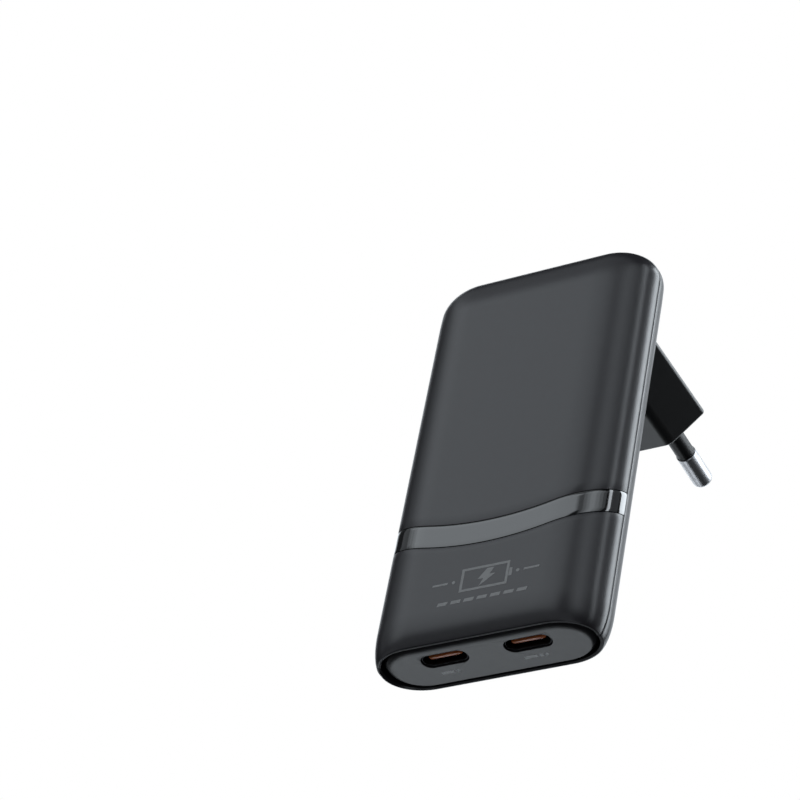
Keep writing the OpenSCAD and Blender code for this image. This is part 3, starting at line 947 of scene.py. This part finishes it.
def base_block():
    """Base block, drawn in a little towards the neck."""
    bm = bmesh.new()
    rings = [block_ring(EDGE, BLOCK_Y0), block_ring(0, BLOCK_Y0 + EDGE)]
    rings += [block_ring(BLOCK_TAPER + inset, BLOCK_Y1 - drop)
              for inset, drop in quarter_round(BLOCK_ROLL, 6)]
    loft(bm, rings, cap_start=True, cap_end=True)
    return new_object("plug_housing_moulding", bm, PLUG_SHARP_ANGLE)


def neck():
    """Neck, from inside the base block to the engagement face."""
    bm = bmesh.new()
    rings = [neck_ring(NECK_FOOT, NECK_Y0), neck_ring(0, NECK_Y0 + NECK_FOOT)]
    rings += [neck_ring(inset, -drop) for inset, drop in quarter_round(NECK_ROLL, 6)]
    loft(bm, rings, cap_start=True, cap_end=True)
    return new_object("neck", bm, PLUG_SHARP_ANGLE)


def plug_housing():
    """Base block and neck as one hollow moulding, with a seat for its plate and a hole for each pin."""
    housing = base_block()
    combine(housing, neck(), "UNION")
    outside = BLOCK_Y0 - 1
    cut_rings(housing, [neck_ring(NECK_WALL, outside), neck_ring(NECK_WALL, -NECK_WALL)])
    plate_low, plate_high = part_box("plug_base_plate")
    rim = (BLOCK_W - (plate_high.x - plate_low.x) / MM) / 2 - PLATE_GAP
    cut_rings(housing, [block_ring(rim, outside), block_ring(rim, BLOCK_Y0 + PLATE_T)])
    radius = COLLAR_R + DRILL_GAP
    profile = [(radius + DRILL_EDGE, 1), (radius + DRILL_EDGE, 0), (radius, -DRILL_EDGE),
               (radius, -NECK_WALL - 1)]
    for side in SIDES:
        combine(housing, lathe("drill", profile, *pin_line(side), segments=48))
    return flat_shaded(housing)


def pin_line(side):
    """Where a pin leaves the engagement face, and which way it points."""
    name = "pin_" + side_word(side)
    mount = next(m for m in frame["record"]["mounts"] if m["name"] == name)
    axis = Vector(mount["axis"]).normalized()
    origin = Vector(mount["pos_m"]) - axis * (mount["pos_m"][1] / axis.y)
    return origin, axis


def pin(side):
    """Round pin with a reduced core in its sleeve and a rounded tip."""
    low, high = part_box("pin_" + side_word(side))
    start, length = low.y / MM + 0.1, high.y / MM
    shoulder = SLEEVE_LEN + PIN_FIT
    profile = [(PIN_CORE_R, start), (PIN_CORE_R, shoulder)]
    profile += [(PIN_R - PIN_EDGE, shoulder), (PIN_R, shoulder + PIN_EDGE)]
    profile += [(PIN_R, z) for z in spread(SLEEVE_LEN + 0.6, length - PIN_TIP, 1.5)]
    turns = spread(0, math.pi / 2, math.pi / 28)[1:-1]
    profile += [(PIN_R * math.cos(a), length - PIN_TIP * (1 - math.sin(a))) for a in turns]
    profile += [(PIN_FIT, length)]
    return lathe("pin_metal_" + side_word(side), profile, *pin_line(side))


def sleeve(side):
    """Insulating sleeve with its thicker collar."""
    inner = PIN_CORE_R + PIN_FIT
    profile = [(inner, 1 - PIN_BACK), (COLLAR_R, 1 - PIN_BACK)]
    profile += [(COLLAR_R - inset, COLLAR_LEN - drop)
                for inset, drop in quarter_round(COLLAR_ROLL, 5)]
    profile += [(SLEEVE_R + 0.1, COLLAR_LEN), (SLEEVE_R, COLLAR_LEN + PIN_EDGE)]
    profile += [(SLEEVE_R, SLEEVE_LEN - PIN_EDGE), (SLEEVE_R - PIN_EDGE, SLEEVE_LEN)]
    profile += [(inner, SLEEVE_LEN)]
    name = "pin_sleeve_moulding_" + side_word(side)
    return lathe(name, profile, *pin_line(side), closed=True)


# ---------------------------------------------------------------- printed marks


def flat_print(name, outlines, surface):
    """Thin ink: each outline is a list of points, which surface(u, v, depth) puts in place."""
    bm = bmesh.new()
    for outline in outlines:
        lower = [bm.verts.new(surface(u, v, 0)) for u, v in outline]
        upper = [bm.verts.new(surface(u, v, INK_T)) for u, v in outline]
        bridge(bm, lower, upper)
        fill_between(bm, upper)
        fill_between(bm, lower)
    return new_object(name, bm)


def bar(x0, x1, z, width, lean=0.0):
    """Outline of a level bar; lean slants its ends."""
    h = width / 2
    return [(x0 - lean * h, z - h), (x1 - lean * h, z - h), (x1 + lean * h, z + h),
            (x0 + lean * h, z + h)]


def dot(x, z, radius, steps=20):
    turns = [2 * math.pi * k / steps for k in range(steps)]
    return [(x + radius * math.cos(a), z + radius * math.sin(a)) for a in turns]


def frame_bars(x, y, half_w, half_h, width):
    """Four bars round an empty rectangle; the upright ones fit between the level ones."""
    w, h = half_w, half_h
    out = [bar(x - w, x + w, y + side * (h - width / 2), width) for side in SIDES]
    inside = 2 * (h - width) - BATTERY_GAP
    out += [bar(x + side * (w - width / 2) - width / 2, x + side * (w - width / 2) + width / 2,
                y, inside) for side in SIDES]
    return out


def front_marks():
    """A battery with a lightning flash between two dashes and dots, over a row of short bars."""
    x, z = MARK_X, MARK_Z
    flash = [(0.1, 1.75), (1.5, 1.75), (0.75, 0.4), (1.9, 0.4), (-1.1, -1.85), (-0.35, -0.3),
             (-1.5, -0.3)]
    outlines = [[(x + fx, z + fz) for fx, fz in flash]]
    outlines += frame_bars(x - 0.2, z, BATTERY_HALF_W, BATTERY_HALF_H, BATTERY_LINE)
    outlines.append(bar(x + BATTERY_HALF_W - 0.1, x + BATTERY_HALF_W + 0.5, z, 1.7))
    for side in SIDES:
        outlines.append(bar(x + side * 9.0 - 1.5, x + side * 9.0 + 1.5, z, 0.42, 0.3))
        outlines.append(dot(x + side * 6.3, z, 0.34))
    for k in range(-3, 4):
        outlines.append(bar(x + k * 2.6 - 0.95, x + k * 2.6 + 0.95, z - 4.4, 0.7, 0.3))
    return flat_print("front_marks", outlines,
                      lambda u, v, up: place(u, INK_T - BODY_D / 2 - up, v))


def port_marks():
    """A short bar beside each socket, with one dot or two."""
    face_z = (panel_low.z - front_low.z) / MM
    outlines = []
    for side, count in ((-1, 1), (1, 2)):
        x, y = side * PORT_X + PORT_MARK_AT[0], PORT_MARK_AT[1]
        outlines.append(bar(x - 2.2, x + 0.3, y, 0.75))
        outlines += [dot(x + 1.1 + k, y, 0.38, 12) for k in range(count)]
    return flat_print("port_marks", outlines, lambda u, v, up: place(u, v, face_z - up))


# ---------------------------------------------------------------- camera, light and floor


def make_camera():
    """Long lens from the front right and below, rolled a little."""
    data = bpy.data.cameras.new("camera")
    camera = bpy.data.objects.new("camera", data)
    bpy.context.scene.collection.objects.link(camera)
    data.lens = CAMERA_LENS
    data.sensor_width = 36
    data.shift_x, data.shift_y = CAMERA_SHIFT
    a, e = math.radians(CAMERA_AZIMUTH), math.radians(CAMERA_ELEVATION)
    back = Vector((math.sin(a) * math.cos(e), -math.cos(a) * math.cos(e), math.sin(e)))
    turn = (-back).to_track_quat("-Z", "Y")
    roll = Matrix.Rotation(math.radians(CAMERA_ROLL), 3, "Z")
    camera.matrix_world = Matrix.Translation(CAMERA_AT) @ (turn.to_matrix() @ roll).to_4x4()
    data.clip_start, data.clip_end = 0.01, 50
    bpy.context.scene.camera = camera
    bpy.context.scene.view_settings.view_transform = "Standard"


def softbox(name, headings, margins, heights, brightness):
    """Rectangular light on a sphere round the object, between headings and heights in degrees.
    With margins it is a stack of ever wider lights, so that its sides fade out."""
    layers = SOFT_LAYERS if any(margins) else 1
    for k in range(layers):
        share = k / max(layers - 1, 1)
        first, last = headings[0] - margins[0] * share, headings[1] + margins[1] * share
        heading = math.radians((first + last) / 2)
        height = math.radians(sum(heights) / 2)
        span = (last - first, heights[1] - heights[0])
        data = bpy.data.lights.new("%s_%d" % (name, k), "AREA")
        data.shape = "RECTANGLE"
        data.color = LIGHT_TINT
        data.size, data.size_y = (2 * LIGHT_DISTANCE * math.tan(math.radians(v) / 2) for v in span)
        data.energy = brightness / layers * data.size * data.size_y * math.pi
        light = bpy.data.objects.new(data.name, data)
        bpy.context.scene.collection.objects.link(light)
        direction = Vector((math.cos(heading) * math.cos(height),
                            math.sin(heading) * math.cos(height), math.sin(height)))
        light.location = place(0, 0, BODY_H / 2) + LIGHT_DISTANCE * direction
        light.rotation_mode = "QUATERNION"
        light.rotation_quaternion = direction.to_track_quat("Z", "Y")
        light.visible_camera = False


def make_backdrop():
    """White world for the eye, dimmer for the light it gives."""
    world = bpy.data.worlds.new("studio")
    bpy.context.scene.world = world
    world.use_nodes = True
    tree = world.node_tree
    shown = tree.nodes["Background"]
    shown.inputs["Color"].default_value = (1, 1, 1, 1)
    shown.inputs["Strength"].default_value = BACKDROP_SHOWN
    given = tree.nodes.new("ShaderNodeBackground")
    given.inputs["Color"].default_value = (0.9, 0.95, 1.0, 1)
    given.inputs["Strength"].default_value = BACKDROP_GIVEN
    path = tree.nodes.new("ShaderNodeLightPath")
    mix = tree.nodes.new("ShaderNodeMixShader")
    tree.links.new(path.outputs["Is Camera Ray"], mix.inputs["Fac"])
    tree.links.new(given.outputs["Background"], mix.inputs[1])
    tree.links.new(shown.outputs["Background"], mix.inputs[2])
    tree.links.new(mix.outputs["Shader"], tree.nodes["World Output"].inputs["Surface"])


def make_floor():
    """Pale floor far below, which the object's own surfaces don't reflect."""
    bm = bmesh.new()
    half = FLOOR_HALF
    corners = [(-half, -half), (half, -half), (half, half), (-half, half)]
    bm.faces.new([bm.verts.new((x, y, FLOOR_Z)) for x, y in corners])
    floor = new_object("floor", bm)
    look = Look("floor_paint", (0.8, 0.8, 0.8), 0.9)
    look.vary_colour(look.noise(60, 3), (0.78, 0.78, 0.78), (0.82, 0.82, 0.82))
    look.socket("Emission Color", (1, 1, 1, 1)).socket("Emission Strength", FLOOR_GLOW)
    floor.data.materials.append(look.material)
    floor.visible_diffuse = floor.visible_glossy = False


# ---------------------------------------------------------------- the pieces in place


def front_columns():
    """Columns of the front shell, and of the stripe in it."""
    return columns(spread(0, FLAT_HALF, FACE_STEP)[1:], spread(0, 1, 0.05)[1:])


def rear_columns():
    """Columns of the rear shell: the closer together, the nearer to the pocket's sides."""
    slope = RECESS_HALF - RECESS_R - RECESS_SLOPE
    flat = spread(0, slope, 1.3)[1:] + spread(slope, FLAT_HALF, 0.22)[1:]
    arc = spread(0, 0.12, 0.013)[1:] + spread(0.12, 1, 0.05)[1:]
    return columns(flat, arc)


def cut_rear_slots(rear):
    """Cuts a keyhole slot for each hook, long enough for its travel, and a window for each contact."""
    deep, back = BODY_D / 2 - RECESS_D - WALL - 1, BODY_D / 2 + 1
    for x, z in HOOKS:
        low = z - TRAVEL - GAP
        for half_w, top in ((HOOK_HEAD / 2 + GAP, low + HOOK_LEN + 2 * GAP),
                            (HOOK_STEM / 2 + GAP, z + HOOK_LEN + GAP)):
            cut_box(rear, (x - half_w, deep, low), (x + half_w, back, top))
    half_w, half_h = CONTACT_W / 2 + GAP, CONTACT_LEN / 2 + GAP
    for side in SIDES:
        x = side * CONTACT_X
        cut_box(rear, (x - half_w, deep, CONTACT_Z - half_h), (x + half_w, back, CONTACT_Z + half_h))


def build_body():
    """The casing, the stripe, and the port panel with its sockets."""
    # edge is the painted highlight material of the port rim.
    shell, edge = shell_plastic(), shell_lip_highlight()
    front = skin("front_shell_moulding", -1, front_columns(), front_rows(), (shell, edge), ink_dent)
    belongs(front, BODY, "shell_matte", shell, "front_shell")
    rear = skin("rear_shell_moulding", 1, rear_columns(), rear_rows(), (shell, edge), recess_dent)
    cut_rear_slots(rear)
    belongs(rear, BODY, "rear_matte", shell, "rear_shell")
    stripe = stripe_strip("stripe_inlay", front_columns())
    belongs(stripe, BODY, "stripe_gloss", stripe_gloss(), "wave_stripe")
    belongs(port_panel(), BODY, "panel_matte", panel_plastic(), "port_panel")
    # The sockets' steel is painted near black: painted shade and dark reflection inside the openings.
    socket_metal_painted_shade = metal("socket_metal_painted_shade", (0.03, 0.03, 0.032), 0.4).material
    tongue = tongue_plastic()
    for side in SIDES:
        node = "usb_c_" + side_word(side)
        belongs(socket_shell(side), BODY, "socket_steel", socket_metal_painted_shade, node + "_shell")
        belongs(socket_tongue(side), BODY, "tongue_orange", tongue, node + "_tongue")


def build_plug(plastic):
    """The plug head's moulding, pins and sleeves."""
    belongs(plug_housing(), HEAD, "plug_matte", plastic, "plug_housing")
    bare_metal, sleeve_black = pin_metal(), sleeve_plastic()
    for side in SIDES:
        word = side_word(side)
        belongs(pin(side), HEAD, "pin_metal", bare_metal, "pin_" + word)
        belongs(sleeve(side), HEAD, "sleeve_black", sleeve_black, "pin_sleeve_" + word)


def build_marks():
    """The printed marks on the front face and beside the ports."""
    belongs(front_marks(), BODY, "stripe_gloss", mark_ink("mark_ink", 0.21))
    belongs(port_marks(), BODY, "stripe_gloss", mark_ink("port_ink", 0.8))


make_camera()
make_backdrop()
make_floor()
for light in LIGHTS:
    softbox(*light)
plug = plug_plastic()
build_body()
build_plug(plug)
build_marks()
for node, (material, bevel) in node_looks(plug).items():
    dress(node, material, bevel)
